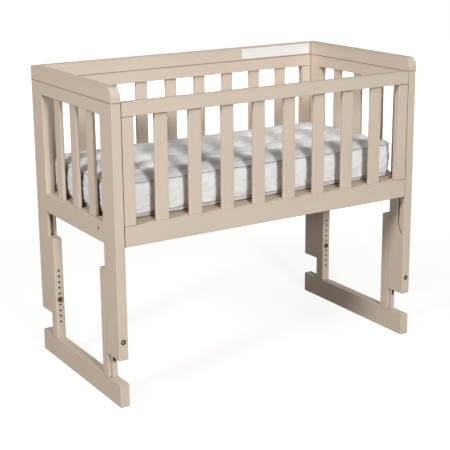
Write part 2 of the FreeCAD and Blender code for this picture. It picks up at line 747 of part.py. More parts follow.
def crib_dowels():
    """Dowels of both end frames and of the rear side."""
    members = []
    middle_y = "(overall_depth / 2 - panel_thickness / 2)"
    for x_side in (-1, 1):
        for z in END_RAIL_DOWELS:
            for y_side in (-1, 1):
                members.append(dowel("rail_dowel", "frame_dowel", f"{x_side} * post_x",
                                     f"{y_side} * end_opening / 2", z, ALONG_Y))
        for z in LOWER_SIDE_DOWELS + [TOP_SIDE_DOWEL, BOARD_DOWEL]:
            members.append(dowel("side_dowel", "frame_dowel",
                                 f"{x_side} * inner_length / 2", middle_y, z, ALONG_X))
        for y in ("-post_y", "0", "post_y"):
            members.append(dowel("cap_dowel", "frame_dowel", f"{x_side} * post_x", y,
                                 "rim_height"))
    for x in stile_dowels("inner_length"):
        for z in ("rail_top", "top_rail_bottom"):
            members.append(dowel("stile_dowel", "panel_dowel", x, middle_y, z))
    compound("crib_dowels", members)


def front_dowels():
    members = []
    for x in stile_dowels("front_length"):
        for z in ("rail_top", "top_rail_bottom"):
            members.append(dowel("front_dowel", "panel_dowel", x,
                                 "panel_thickness / 2 - overall_depth / 2", z))
    compound("front_dowels", members)


def guide_pins():
    """The four steel pins on which the front side runs in its tracks."""
    members = []
    places = (("track_setback - overall_depth / 2", "low_pin"),
              ("panel_thickness / 2 - overall_depth / 2", "high_pin"))
    for y, z in places:
        for side in (-1, 1):
            pin = cylinder("guide_pin", "pin_diameter", "pin_seat + pin_reach")
            start = f"{side} * (front_length / 2 - pin_seat)"
            place(pin, start, y, z, ALONG_X if side > 0 else AGAINST_X)
            members.append(pin)
    compound("front_guide_pins", members)


# ---------------------------------------------------------------- base and bedding
def base_bolts():
    """The bolts through the end rails, and the barrel nuts in the base rail."""
    bolts = []
    nuts = []
    for side, turn in ((-1, ALONG_X), (1, AGAINST_X)):
        bolt = socket_bolt("base_bolt", "bolt_thread", "base_bolt_length")
        place(bolt, f"{side} * overall_length / 2", "base_rail_y", "base_bolt_height", turn)
        bolts.append(bolt)
        barrel = cylinder("barrel", "barrel_diameter", "barrel_length")
        place(barrel, f"{side} * (inner_length / 2 - barrel_depth)",
              "base_rail_y - barrel_length / 2", "base_bolt_height", ALONG_Y)
        thread = cylinder("barrel_thread", "bolt_thread", "2 * barrel_diameter")
        place(thread, f"{side} * (inner_length / 2 - barrel_depth) - barrel_diameter",
              "base_rail_y", "base_bolt_height", ALONG_X)
        nut = doc.addObject("Part::Cut", "barrel_nut")
        nut.Base = barrel
        nut.Tool = thread
        nuts.append(nut)
    compound("base_bolts", bolts)
    compound("barrel_nuts", nuts)


def base_rail():
    """The rail on edge that carries the front of the base board."""
    body = new_body("base_rail_front")
    section = new_sketch(body)
    rectangle(section, "-inner_length / 2", "-base_rail_thickness / 2",
              "inner_length / 2", "base_rail_thickness / 2")
    pad(body, section, "base_rail_height")
    round_edges(body, "seam_round", along_x)
    centre = [("0", "base_rail_height / 2")]
    reach = "(base_bolt_length + head_height - frame_thickness)"
    drill(body, "YZ_Plane", "inner_length / 2", centre, "bolt_hole", reach)
    drill(body, "YZ_Plane", "-inner_length / 2", centre, "bolt_hole", reach,
          along_normal=True)
    barrels = [(f"{side} * (inner_length / 2 - barrel_depth)", "base_rail_height / 2")
               for side in (-1, 1)]
    drill(body, "XZ_Plane", "barrel_length / 2", barrels, "barrel_diameter",
          "base_rail_thickness / 2 + barrel_length / 2")
    place(body, "0", "base_rail_y", "board_bottom - base_rail_height")


def batten_screw_places(bottom):
    """Screw centres of the rear batten, in the heights of a piece that starts there.
    Each one is midway between two slats."""
    height = f"board_bottom - batten_height / 2 - {bottom}"
    return [(f"{gaps} * {slat_step('inner_length')}", height) for gaps in (-3, -1, 1, 3)]


def rear_batten():
    """The batten on the rear side that carries the back of the base board."""
    body = new_body("base_batten_rear")
    section = new_sketch(body)
    rectangle(section, "-inner_length / 2", "-base_rail_thickness", "inner_length / 2", "0")
    pad(body, section, "batten_height")
    round_edges(body, "seam_round", along_x)
    holes = batten_screw_places("(board_bottom - batten_height)")
    drill(body, "XZ_Plane", "0", holes, "batten_screw", None)
    drill(body, "XZ_Plane", "base_rail_thickness", holes, "batten_screw_head", "head_height")
    rear_face = "overall_depth / 2 - panel_thickness"
    place(body, "0", rear_face, "board_bottom - batten_height")

    screws = []
    for x, _ in holes:
        head = cylinder("screw_head", "batten_screw_head", "head_height")
        stem = cylinder("screw_shank", "batten_screw", "batten_screw_length")
        screw = doc.addObject("Part::Fuse", "batten_screw")
        screw.Base = head
        screw.Tool = stem
        place(screw, x, f"{rear_face} - base_rail_thickness",
              "board_bottom - batten_height / 2", ALONG_Y)
        screws.append(screw)
    compound("batten_screws", screws)


def base_board():
    """The board under the mattress, on the base rail and the rear batten."""
    body = new_body("base_board")
    section = new_sketch(body)
    rectangle(section, "board_gap - inner_length / 2", "board_front",
              "inner_length / 2 - board_gap", "board_rear")
    pad(body, section, "board_thickness")
    place(body, "0", "0", "board_bottom")


def rounded_rectangle(sketch, inset):
    """The mattress's outline, drawn in by an inset: four lines and four quarter arcs."""
    half_x = f"(mattress_length / 2 - {inset})"
    half_y = f"(mattress_width / 2 - {inset})"
    x, y, r = number(half_x), number(half_y), number("mattress_corner")
    centres = [(x - r, y - r), (r - x, y - r), (r - x, r - y), (x - r, r - y)]
    quarter = math.pi / 2
    for index, (cx, cy) in enumerate(centres):
        circle = Part.Circle(Vector(cx, cy, 0), Vector(0, 0, 1), r)
        sketch.addGeometry(Part.ArcOfCircle(circle, index * quarter, (index + 1) * quarter),
                           False)
    for index in range(4):
        start = sketch.getPoint(index, 2)
        end = sketch.getPoint((index + 1) % 4, 1)
        sketch.addGeometry(Part.LineSegment(start, end), False)
        line = 4 + index
        sketch.addConstraint(Sketcher.Constraint("Tangent", index, 2, line, 1))
        sketch.addConstraint(Sketcher.Constraint("Tangent", line, 2, (index + 1) % 4, 1))
    signs = [(1, 1), (-1, 1), (-1, -1), (1, -1)]
    for index, (sign_x, sign_y) in enumerate(signs):
        fix_point(sketch, index, 3, f"{sign_x} * ({half_x} - mattress_corner)",
                  f"{sign_y} * ({half_y} - mattress_corner)")
    made = sketch.addConstraint(Sketcher.Constraint("Radius", 0, r))
    sketch.setExpression(f"Constraints[{made}]", formula("mattress_corner"))


def mattress():
    """The mattress: a border drawn in at both seams, and a crowned top with sewn tufts."""
    body = new_body("mattress")
    border = [("0", "mattress_waist"), ("mattress_border / 2", "0"),
              ("mattress_border", "mattress_waist")]
    crown = [("mattress_border", "mattress_waist"),
             ("mattress_border + mattress_crown * 0.65", "2 * mattress_crown"),
             ("mattress_border + mattress_crown", "5 * mattress_crown")]
    for levels in (border, crown):
        sections = []
        for height, inset in levels:
            section = new_sketch(body, "XY_Plane", height)
            rounded_rectangle(section, inset)
            sections.append(section)
        loft = body.newObject("PartDesign::AdditiveLoft", "mattress_loft")
        loft.Profile = sections[0]
        loft.Sections = sections[1:]
        doc.recompute()
    for row in range(int(number("tuft_rows"))):
        before = body.Shape.Volume
        tuft = body.newObject("PartDesign::SubtractiveSphere", "mattress_tuft")
        tuft.AttachmentSupport = (origin_part(body, "XY_Plane"), [""])
        tuft.MapMode = "FlatFace"
        bind(tuft, Radius="tuft_ball")
        centre = ("-tuft_pitch * (tuft_columns - 1) / 2",
                  f"tuft_pitch * ({row} - (tuft_rows - 1) / 2)",
                  "mattress_border + mattress_crown - tuft_depth + tuft_ball")
        for axis, words in zip("xyz", centre):
            tuft.setExpression(f"AttachmentOffset.Base.{axis}", formula(words))
        check_cut(body, tuft, before)
        repeat(body, tuft, "X_Axis", "tuft_pitch * (tuft_columns - 1)", "tuft_columns")
    place(body, "0", "(board_front + board_rear) / 2", "mattress_bottom")


def blank_label():
    """The blank label on the inner face of the rear upper board."""
    label = doc.addObject("Part::Box", "blank_label")
    label.Label = "blank_label"
    nodes.append(label)
    bind(label, Length="label_length", Width="label_thickness", Height="label_height")
    place(label, "inner_length / 2 - label_inset - label_length",
          "overall_depth / 2 - panel_thickness - label_thickness",
          "rim_height + (cap_height - label_height) / 2")


# ---------------------------------------------------------------- the crib
for is_left, side_name in ((True, "left"), (False, "right")):
    post(f"post_front_{side_name}", is_left, True)
    post(f"post_rear_{side_name}", is_left, False)
    cap(f"cap_{side_name}", is_left)
    end_rail(f"end_top_rail_{side_name}", is_left, False)
    end_rail(f"end_bottom_rail_{side_name}", is_left, True)
    end_slats(f"end_slats_{side_name}", is_left)
    foot_rail(f"foot_rail_{side_name}", is_left)
    upright(f"upright_front_{side_name}", is_left, True)
    upright(f"upright_rear_{side_name}", is_left, False)
    index_screws(f"index_screws_{side_name}", is_left)
rear_side()
front_side()
base_rail()
rear_batten()
base_board()
base_bolts()
lock_bolts()
crib_dowels()
front_dowels()
guide_pins()
mattress()
blank_label()
doc.recompute()

for item in doc.Objects:
    if "Invalid" in item.State or "Error" in item.State:
        raise ValueError(f"{item.Label} failed: {item.State}")
for node in nodes:
    if node.Shape.isNull() or not node.Shape.isValid() or not node.Shape.Solids:
        raise ValueError(f"{node.Label} has no valid solid")

os.makedirs("parts", exist_ok=True)
for node in nodes:
    node.Shape.exportStep(f"parts/{node.Label}.step")
print(len(nodes), "pieces written")
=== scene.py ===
"""Bedside sleeper crib: painted wood, metal fastenings and a quilted mattress."""
import math

import bmesh
import bpy
import numpy as np
from mathutils import Matrix, Vector, noise


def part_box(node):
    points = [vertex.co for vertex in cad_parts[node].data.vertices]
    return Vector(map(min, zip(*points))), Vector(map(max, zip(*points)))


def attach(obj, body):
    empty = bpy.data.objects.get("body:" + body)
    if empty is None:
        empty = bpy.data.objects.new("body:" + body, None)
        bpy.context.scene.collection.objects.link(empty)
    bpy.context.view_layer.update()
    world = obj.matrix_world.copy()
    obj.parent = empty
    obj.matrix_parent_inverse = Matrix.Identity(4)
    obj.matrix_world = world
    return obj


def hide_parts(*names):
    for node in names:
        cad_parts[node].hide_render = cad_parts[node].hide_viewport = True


bl_info = {
    "name": "Bedside Sleeper Crib",
    "version": (1, 0, 0),
    "blender": (4, 5, 0),
    "location": "View3D > Sidebar > Crib",
    "description": "Paints the crib's wood, finishes its metal and sews its mattress",
    "category": "Object",
}

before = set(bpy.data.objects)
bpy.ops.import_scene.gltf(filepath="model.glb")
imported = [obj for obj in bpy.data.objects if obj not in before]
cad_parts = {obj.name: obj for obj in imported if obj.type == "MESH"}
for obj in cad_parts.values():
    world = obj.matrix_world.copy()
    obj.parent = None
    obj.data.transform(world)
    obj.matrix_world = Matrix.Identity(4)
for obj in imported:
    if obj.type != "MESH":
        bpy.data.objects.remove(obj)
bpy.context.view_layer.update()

# The pieces of the crib by finish, and the way that their grain runs.
FACES = ("front", "rear")
SIDES = ("left", "right")
ALONG_X = ["rear_bottom_rail", "front_top_rail", "front_bottom_rail", "base_rail_front",
           "base_batten_rear"]
ALONG_Y = [f"{piece}_{side}" for side in SIDES
           for piece in ("cap", "end_top_rail", "end_bottom_rail", "foot_rail")]
ALONG_Z = [f"{piece}_{side}" for side in SIDES
           for piece in ("upright_front", "upright_rear", "end_slats")]
ALONG_Z += [f"{face}_slat_{number}" for face in FACES for number in range(1, 9)]
STILES = [f"{face}_stile_{side}" for face in FACES for side in SIDES]
POSTS = [f"post_{face}_{side}" for face in FACES for side in SIDES]
LOCK_BOLTS = [f"lock_bolt_{face}_{side}" for face in FACES for side in SIDES]

# Materials. Lengths are in metres.
WHITE = (1, 1, 1, 1)
OPENNESS_RAYS = 6
GRAIN_STRETCH = 0.03            # scale of the paint's grain along the wood
SEAM_TINT = (0.86, 0.95, 1.0)   # the share of red, green and blue that the painted shade in a seam takes away
SEAM_CORE = 0.0006              # painted shade in a seam is full up to this distance from it
SEAM_EDGE = 0.0013              # and gone from this one on
SOCKET_HIGHLIGHT_CORE = 0.0019            # a painted highlight fills a bolt's socket up to this radius
SOCKET_HIGHLIGHT_EDGE = 0.0026            # and not from this one on
SOCKET_HIGHLIGHT_COLOUR = (0.78, 0.70, 0.60, 1)
KNIT_SCALE = 290
STITCH_LENGTH = 0.003
STITCHES = "stitches"           # the attribute that says where the quilting's thread lies

# The mattress's shape, in metres.
COVER_INSET = (0.0025, 0.004)   # how far inside its CAD solid the cover starts, in X and Y
CORNER_RADIUS = 0.036
UNDER_BEVEL = 0.008
VOXEL = 0.006
FOOT_SEAM = 0.011               # height of the lower seam
DOME_WIDTH = 0.05               # the top rises over this width inside its seam
DOME_CURVE = 2.2
QUILT_SWING = 0.017             # how far a wave of quilting swings past its tufts
QUILT_START = 0.012             # the quilting begins this far inside the seam
QUILT_FADE = 0.03               # and has its full depth this much further in
QUILT_EDGE = 0.02               # its thread stops this far inside the seam
PUFF_WIDTH = 0.042              # from a line of quilting to the middle of its puff
TUFT_WIDTH = 0.015
THREAD_WIDTH = 0.004
BULGE_LENGTH = 0.05             # an end bulges from this far inside it
BULGE_HALF_WIDTH = 0.166        # and no further out than this, which is between the posts
BULGE_FADE = 0.035
BULGE_RISE = 0.026              # a bulge is full from this height
WOBBLES = ((0.0018, 9, 0), (0.0012, 38, 7))     # a seam's: height, scale, step of the seed
PIPING_POINTS = 420

# The depths of the cover's folds, in metres.
BORDER_ROLL = 0.0016            # the border's slow in and out
BORDER_SLANT = 0.0018           # creases that slant across it
BORDER_FOOT = 0.0042            # long creases beside the lower seam
BORDER_GATHER = 0.0022          # gathers below the upper seam
BORDER_PUCKER = 0.0012          # puckers beside the lower seam
TOP_GATHER = 0.0030             # gathers inside the upper seam
TOP_LINE = 0.0032               # the line of the quilting's thread
TOP_PUCKER = 0.0030             # puckers beside that line
TOP_WRINKLE = 0.0020            # wrinkles in between
GATHER_WIDTH = 0.02             # gathers fade over this distance from their seam
LINE_WIDTH = 0.0035
PUCKER_WIDTH = 0.016            # and puckers over this one from their line
SEAM_ZONE = 0.16                # the folds beside a seam fade over this share of the border
FOOT_ZONE = 0.12                # where the lower seam's folds are deepest, as such a share

# The cloth simulation of the cover.
PRESSURE = 4.0
BORDER_SWELL = 0.005            # how far the border may swell, in metres
SEWN_WEIGHT = 1.0
QUILTED_WEIGHT = 0.35
SEAM_HOLD = 0.005               # points this near the upper seam are sewn fast
FOOT_HOLD = 0.004               # and this near the lower seam or the underside
LINE_HOLD = 0.0045              # points this near a line of quilting are held a little
TUFT_HOLD = 0.009
SWELL_FRAMES = 20
CLOTH = {"quality": 6, "tension_stiffness": 12, "compression_stiffness": 8,
         "shear_stiffness": 4, "bending_stiffness": 0.3}

# The stage, in metres and radians.
LOOK_AT = Vector((0, 0, 0.42))
LAMPS = {
    "key": {"place": (-1.16, -6.8, 2.95), "size": 1.45, "colour": (1, 1, 1)},
    "side": {"place": (-4.08, -1.33, 2.75), "size": 1.0, "colour": (1, 0.955, 0.93)},
    "top": {"place": (0.4, -0.6, 3.4), "size": 2.4, "colour": (1, 1, 1)},
    "back": {"place": (3.6, 4.0, 0.9), "size": 1.4, "colour": (1, 1, 1)},
}
CAMERA_PLACE = (-1.60442, -2.55368, 1.20393)
CAMERA_YAW, CAMERA_PITCH, CAMERA_ROLL = -0.558736, 0.255188, -0.008137
CAMERA_SHIFT = -0.06


# ---------------------------------------------------------------- settings
class PaintFinish(bpy.types.PropertyGroup):
    """The crib's paint"""
    colour: bpy.props.FloatVectorProperty(
        name="Paint", description="Colour of the crib's paint", subtype="COLOR",
        size=3, min=0, max=1, default=(0.655, 0.561, 0.462))
    gloss_roughness: bpy.props.FloatProperty(
        name="Roughness", description="Roughness of the satin paint",
        default=0.62, min=0, max=1, subtype="FACTOR")
    grain_depth: bpy.props.FloatProperty(
        name="Grain depth", description="How far the wood's grain shows through the paint",
        default=0.00009, min=0, max=0.001, unit="LENGTH")
    # how deep the painted shade in the seams is
    seam_shade: bpy.props.FloatProperty(
        name="Seam shade", description="How much the paint darkens in a seam",
        default=0.86, min=0, max=1, subtype="FACTOR")


class MetalFinish(bpy.types.PropertyGroup):
    """The colours of the metal fastenings"""
    antique_brass: bpy.props.FloatVectorProperty(
        name="Antique brass", description="Colour of the lock bolts",
        subtype="COLOR", size=3, min=0, max=1, default=(0.115, 0.066, 0.040))
    bright_brass: bpy.props.FloatVectorProperty(
        name="Bright brass", description="Colour of the base rail's bolts",
        subtype="COLOR", size=3, min=0, max=1, default=(0.52, 0.35, 0.13))
    steel: bpy.props.FloatVectorProperty(
        name="Steel", description="Colour of the zinc-plated steel",
        subtype="COLOR", size=3, min=0, max=1, default=(0.52, 0.53, 0.54))


class MattressMake(bpy.types.PropertyGroup):
    """The mattress's cloth, and how it is sewn"""
    cloth_colour: bpy.props.FloatVectorProperty(
        name="Cloth", description="Colour of the mattress cover", subtype="COLOR",
        size=3, min=0, max=1, default=(0.85, 0.855, 0.86))
    piping_colour: bpy.props.FloatVectorProperty(
        name="Piping", description="Colour of the piping in the seams", subtype="COLOR",
        size=3, min=0, max=1, default=(0.30, 0.295, 0.285))
    border_height: bpy.props.FloatProperty(
        name="Border height", description="Height of the sewn border up to its top seam",
        default=0.089, min=0.03, max=0.2, unit="LENGTH")
    crown: bpy.props.FloatProperty(
        name="Crown", description="Rise of the quilted top above its seam before it swells",
        default=0.012, min=0, max=0.03, unit="LENGTH")
    tuft_pitch: bpy.props.FloatProperty(
        name="Tuft pitch", description="Distance between sewn tufts",
        default=0.095, min=0.03, max=0.2, unit="LENGTH")
    tuft_depth: bpy.props.FloatProperty(
        name="Tuft depth", description="How far a tuft is sewn down",
        default=0.005, min=0, max=0.02, unit="LENGTH")
    quilt_depth: bpy.props.FloatProperty(
        name="Quilting depth", description="How far the waved quilting is sewn down",
        default=0.008, min=0, max=0.02, unit="LENGTH")
    swell: bpy.props.FloatProperty(
        name="Swell", description="How far the top may swell between its seams",
        default=0.008, min=0, max=0.016, unit="LENGTH")
    end_bulge: bpy.props.FloatProperty(
        name="End bulge", description="How far the ends bulge out towards the end slats",
        default=0.006, min=0, max=0.008, unit="LENGTH")
    piping_radius: bpy.props.FloatProperty(
        name="Piping radius", description="Radius of the piping",
        default=0.0010, min=0.0005, max=0.004, unit="LENGTH")


class StudioSetup(bpy.types.PropertyGroup):
    """The stage's light, and the camera's lens"""
    key_power: bpy.props.FloatProperty(
        name="Key light", description="Power of the front light", default=360,
        min=0, unit="POWER")
    side_power: bpy.props.FloatProperty(
        name="Side light", description="Power of the light over the left end", default=139,
        min=0, unit="POWER")
    top_power: bpy.props.FloatProperty(
        name="Top light", description="Power of the overhead light", default=13,
        min=0, unit="POWER")
    back_power: bpy.props.FloatProperty(
        name="Back light", description="Power of the light behind the crib", default=170,
        min=0, unit="POWER")
    ambient: bpy.props.FloatProperty(
        name="Ambient", description="Strength of the studio's general light", default=0.02,
        min=0, max=2)
    lens: bpy.props.FloatProperty(
        name="Lens", description="Focal length of the camera, in millimetres",
        default=90.91, min=10, max=300)


def setting(group):
    return getattr(bpy.context.scene, group)


# ---------------------------------------------------------------- materials
class Graph:
    """A node tree whose nodes are made and joined by short calls."""

    def __init__(self, tree):
        self.nodes, self.links = tree.nodes, tree.links

    def feed(self, node, key, value):
        """Links an output to a node's socket, or sets the socket to a plain value."""
        socket = node.inputs[key if isinstance(key, int) else key.replace("_", " ")]
        if isinstance(value, bpy.types.NodeSocket):
            self.links.new(value, socket)
        else:
            socket.default_value = value

    def add(self, kind, numbered=None, **named):
        """Adds a node. What is not one of its own properties goes to its sockets."""
        node = self.nodes.new(f"ShaderNode{kind}")
        for key, value in named.items():
            if hasattr(node, key):
                setattr(node, key, value)
            else:
                self.feed(node, key, value)
        for key, value in (numbered or {}).items():
            self.feed(node, key, value)
        return node

    def place(self, scale=(1, 1, 1)):
        """The piece's own coordinates, stretched."""
        here = self.add("TexCoord").outputs["Object"]
        return self.add("Mapping", Vector=here, Scale=scale).outputs["Vector"]

    def noise(self, vector, scale, detail=2.0, roughness=0.5):
        return self.add("TexNoise", Vector=vector, Scale=scale, Detail=detail,
                        Roughness=roughness).outputs["Fac"]

    def wave(self, vector, direction, scale, **more):
        return self.add("TexWave", Vector=vector, bands_direction=direction, Scale=scale,
                        **more).outputs["Fac"]

    def axis(self, vector, name):
        return self.add("SeparateXYZ", Vector=vector).outputs[name]

    def spread(self, value, to_low, to_high, low=0.3, high=0.7):
        """Maps a value's range, which for noise is mostly 0.3 to 0.7, to another, clamped."""
        return self.add("MapRange", Value=value, From_Min=low, From_Max=high,
                        To_Min=to_low, To_Max=to_high).outputs["Result"]

    def math(self, operation, first, second=0.0):
        return self.add("Math", {0: first, 1: second}, operation=operation).outputs["Value"]

    def blend(self, factor, first, second, way="MIX"):
        """Blends two colours, which go to inputs 6 and 7 of a Mix node."""
        return self.add("Mix", {6: first, 7: second}, data_type="RGBA", blend_type=way,
                        Factor=factor).outputs[2]

    def shade(self, colour, factor):
        """A colour times a factor."""
        return self.blend(1.0, colour, factor, "MULTIPLY")

    def relief(self, height, distance, **normal):
        return self.add("Bump", Height=height, Strength=1.0, Distance=distance,
                        **normal).outputs["Normal"]

    def openness(self, distance, **normal):
        """1 where nothing is within this distance, down to 0 deep in a corner."""
        return self.add("AmbientOcclusion", Distance=distance, samples=OPENNESS_RAYS,
                        **normal).outputs["AO"]

    def crevice_shade(self, distance, darkest, lean=0.0):
        """Painted shade: 1 on open faces, down to a share of it in corners and seams. A lean
        looks upwards, so that the painted shade under a ledge is darker than on one."""
        face = self.add("NewGeometry").outputs["Normal"]
        way = self.add("VectorMath", {0: face, 1: (0, 0, lean)}, operation="ADD")
        way = self.add("VectorMath", {0: way.outputs[0]}, operation="NORMALIZE")
        shadow = self.openness(distance, Normal=way.outputs[0])
        return self.spread(shadow, darkest, 1.0, low=0.3, high=0.92)


class Finish(Graph):
    """A new material, its shader and its output."""

    def __init__(self, name):
        self.material = bpy.data.materials.new(name)
        self.material.use_nodes = True
        super().__init__(self.material.node_tree)
        self.shader = self.nodes["Principled BSDF"]
        self.output = self.nodes["Material Output"]

    def set(self, **values):
        for key, value in values.items():
            self.feed(self.shader, key, value)


def opaque(colour):
    return (*colour, 1.0)


def painted_wood(name, grain, seams=()):
    """Satin paint over wood: faint grain along one way, sprayed texture, painted shade in
    corners, in deep hollows and in the seams at these heights, and the colour a little uneven
    over the crib."""
    paint = setting("crib_paint")
    finish = Finish(name)
    along = finish.place(scale=[GRAIN_STRETCH if axis == grain else 1 for axis in "XYZ"])
    plain = finish.place()
    boards = finish.noise(along, 150)
    fibres = finish.noise(along, 420, detail=4, roughness=0.6)
    pores = finish.noise(along, 1300)
    spray = finish.noise(plain, 700)
    cloud = finish.noise(plain, 5)
    streak = finish.math("MULTIPLY", finish.spread(boards, 0.982, 1.008),
                         finish.spread(fibres, 0.985, 1.01))
    tone = finish.math("MULTIPLY", finish.spread(cloud, 0.975, 1.02), streak)
    colour = finish.shade(opaque(paint.colour), tone)

    # painted shade in corners and under ledges, and below it painted shade along the seams at
    # these heights
    lit = finish.crevice_shade(0.005, darkest=0.0, lean=0.7)
    height = finish.axis(plain, "Z")
    for seam in seams:
        away = finish.math("ABSOLUTE", finish.math("SUBTRACT", height, seam))
        line = finish.spread(away, 0.2, 1, low=SEAM_CORE, high=SEAM_EDGE)
        lit = finish.math("MINIMUM", lit, line)
    dark = opaque([1 - paint.seam_shade * share for share in SEAM_TINT])
    colour = finish.shade(colour, finish.blend(lit, dark, WHITE))
    # painted shade deep in hollows, such as the drilled holes
    hollow_shade = finish.spread(finish.openness(0.02), 0.1, 1, low=0.12, high=0.3)
    colour = finish.shade(colour, hollow_shade)

    grained = finish.relief(finish.math("ADD", fibres, pores), paint.grain_depth)
    roughness = finish.spread(spray, paint.gloss_roughness - 0.05,
                              paint.gloss_roughness + 0.07)
    finish.set(Base_Color=colour, Roughness=roughness, Specular_IOR_Level=0.09,
               Normal=finish.relief(spray, 0.00003, Normal=grained))
    return finish.material


def bare_wood(name, colour, dark, ply=0.0):
    """Sanded wood with grain along X. Plies of a given thickness show on its edges."""
    finish = Finish(name)
    along = finish.place(scale=(0.06, 1, 1))
    bend = finish.noise(along, 40, detail=3)
    fibres = finish.noise(along, 500, detail=4, roughness=0.65)
    rings = finish.wave(along, "Y", 26, Distortion=7, Detail=2)
    figure = finish.math("MULTIPLY", rings, finish.spread(bend, 0.3, 1))
    factor = finish.spread(finish.math("ADD", figure, fibres), 0, 1, low=0.3, high=1.6)
    tone = finish.blend(factor, opaque(colour), opaque(dark))
    if ply:
        layer = finish.math("PINGPONG", finish.axis(finish.place(), "Z"), ply)
        edge = finish.spread(layer, 0.86, 1.0, low=ply * 0.45, high=ply * 0.55)
        facing = finish.axis(finish.add("NewGeometry").outputs["Normal"], "Z")
        flat = finish.math("GREATER_THAN", finish.math("ABSOLUTE", facing), 0.5)
        tone = finish.shade(tone, finish.math("MAXIMUM", edge, flat))
    # painted shade in corners and seams
    tone = finish.shade(tone, finish.crevice_shade(0.006, darkest=0.6))
    finish.set(Base_Color=tone, Normal=finish.relief(fibres, 0.0001),
               Roughness=finish.spread(fibres, 0.55, 0.7))
    return finish.material


def metal(name, colour, patina, roughness, brushed=False, socket=None):
    """Turned metal with painted shade in its recesses, or with a painted highlight in its
    sockets.
    A socket is given by its X, the same on the left and the right, and its Z."""
    finish = Finish(name)
    here = finish.place(scale=(1, 1, 0.05) if brushed else (1, 1, 1))
    cloud = finish.noise(here, 260, detail=3, roughness=0.6)
    brush = finish.noise(here, 1500)
    dulled = finish.spread(cloud, 0, 1, low=0.35, high=0.65)
    tone = finish.blend(dulled, opaque(colour), opaque(patina))
    if socket:
        # a painted highlight in the lock bolt's socket
        plain = finish.place()
        across = finish.math("ABSOLUTE", finish.axis(plain, "X"))
        across = finish.math("SUBTRACT", across, socket[0])
        above = finish.math("SUBTRACT", finish.axis(plain, "Z"), socket[1])
        away = finish.math("SQRT", finish.math("ADD", finish.math("POWER", across, 2),
                                               finish.math("POWER", above, 2)))
        wear_and_glint = finish.spread(away, 1, 0, low=SOCKET_HIGHLIGHT_CORE, high=SOCKET_HIGHLIGHT_EDGE)
        tone = finish.blend(wear_and_glint, tone, SOCKET_HIGHLIGHT_COLOUR)
    else:
        # painted shade in the recesses
        tone = finish.shade(tone, finish.crevice_shade(0.003, darkest=0.35))
    finish.set(Base_Color=tone, Metallic=1.0, Normal=finish.relief(brush, 0.00003),
               Roughness=finish.spread(cloud, roughness - 0.06, roughness + 0.1))
    return finish.material


def mattress_cloth(name):
    """Knitted cotton: fine loops, soft unevenness, painted shade in its creases and corners,
    and a sewn line down each quilt wave.
    """
    finish = Finish(name)
    plain = finish.place()
    loops = [finish.wave(plain, way, KNIT_SCALE, Distortion=0.6, Detail=1) for way in "XY"]
    slub = finish.noise(plain, 160, detail=3, roughness=0.6)
    soft = finish.noise(plain, 22, detail=3)
    tone = finish.math("MULTIPLY", finish.spread(soft, 0.955, 1.01),
                       finish.spread(slub, 0.97, 1.01))
    # painted shade in the cover's creases, tufts and corners
    tone = finish.math("MULTIPLY", tone, finish.crevice_shade(0.012, darkest=0.62))
    sewn = finish.add("Attribute", attribute_name=STITCHES).outputs["Fac"]
    dash = finish.math("PINGPONG", finish.axis(plain, "X"), STITCH_LENGTH)
    dash = finish.spread(dash, 0, 1, low=STITCH_LENGTH * 0.2, high=STITCH_LENGTH * 0.4)
    thread = finish.math("MULTIPLY", sewn, dash)
    tone = finish.math("MULTIPLY", tone, finish.spread(thread, 1.0, 0.86, low=0, high=1))
    colour = finish.shade(opaque(setting("crib_mattress").cloth_colour), tone)
    woven = finish.relief(finish.math("MULTIPLY", *loops), 0.00012)
    finish.set(Base_Color=colour, Roughness=0.9, Sheen_Weight=0.18, Sheen_Roughness=0.5,
               Specular_IOR_Level=0.2, Normal=finish.relief(soft, 0.0006, Normal=woven))
    return finish.material


def piping_cloth(name):
    """Dark woven tape round a cord, with its twill slanting round it."""
    finish = Finish(name)
    plain = finish.place()
    twill = finish.wave(plain, "DIAGONAL", 420, Distortion=0.4)
    wear_and_glint = finish.noise(plain, 90, detail=3, roughness=0.6)
    tone = finish.math("MULTIPLY", finish.spread(twill, 0.8, 1.1, low=0, high=1),
                       finish.spread(wear_and_glint, 0.85, 1.15))
    colour = finish.shade(opaque(setting("crib_mattress").piping_colour), tone)
    finish.set(Base_Color=colour, Roughness=0.85, Sheen_Weight=0.2,
               Normal=finish.relief(twill, 0.0001))
    return finish.material


def label_film(name):
    """A blank satin film, a little uneven."""
    finish = Finish(name)
    plain = finish.place()
    fibre = finish.noise(plain, 1200)
    cloud = finish.noise(plain, 18)
    tone = finish.math("MULTIPLY", finish.spread(fibre, 0.975, 1.0),
                       finish.spread(cloud, 0.97, 1.01))
    finish.set(Base_Color=finish.shade((0.86, 0.86, 0.85, 1), tone), Roughness=0.38,
               Normal=finish.relief(cloud, 0.0002))
    return finish.material


def dress(names, material):
    """Gives frame pieces a finish through their material slots."""
    for name in names:
        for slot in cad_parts[name].material_slots:
            slot.material = material


# ---------------------------------------------------------------- mesh helpers
def activate(piece):
    bpy.ops.object.select_all(action="DESELECT")
    piece.select_set(True)
    bpy.context.view_layer.objects.active = piece


def add_block(name, low, high):
    """A cube at its size and place, its origin at the world's."""
    bpy.ops.object.select_all(action="DESELECT")
    bpy.ops.mesh.primitive_cube_add(size=1,
                                    location=[(a + b) / 2 for a, b in zip(low, high)],
                                    scale=[b - a for a, b in zip(low, high)])
    block = bpy.context.object
    block.name = name
    bpy.ops.object.transform_apply(location=True, rotation=True, scale=True)
    return block


